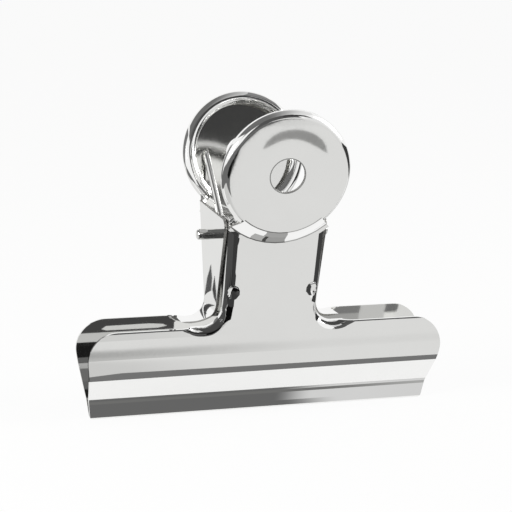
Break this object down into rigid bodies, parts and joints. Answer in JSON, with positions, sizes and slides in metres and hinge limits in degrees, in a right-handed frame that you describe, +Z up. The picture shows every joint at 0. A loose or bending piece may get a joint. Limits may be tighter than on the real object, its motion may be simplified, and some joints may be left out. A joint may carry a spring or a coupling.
{
  "type": "bulldog clip",
  "caption": "Sprung bulldog clip: wide rolled jaws meeting at straight lips, opened by squeezing round thumb discs with a hang hole each.",
  "frame": {"origin": "middle of the closed lips' bottom edge, on the plane between the front and rear plates", "axes": "+X along the jaws, -Y towards the front plate, +Z up from the lips to the thumb discs"},
  "size_m": [0.075, 0.0374, 0.0643],
  "materials": {
    "plated_sheet": "bright nickel-plated pressed steel",
    "plated_pin": "bright nickel-plated steel",
    "spring_wire": "plated spring steel wire"
  },
  "bodies": {
    "rear": {"rear_plate": "plated_sheet", "hinge_pin": "plated_pin", "torsion_spring": "spring_wire"},
    "front": {"front_plate": "plated_sheet"}
  },
  "joints": [
    {"name": "jaw_hinge", "type": "hinge", "parent": "rear", "child": "front", "pos_m": [0, 0, 0.0372], "axis": [-1, 0, 0], "range_deg": [0, 60], "stiffness_Nm_per_rad": 0.3, "springref_deg": -100.27, "deforming": ["torsion_spring"]}
  ]
}
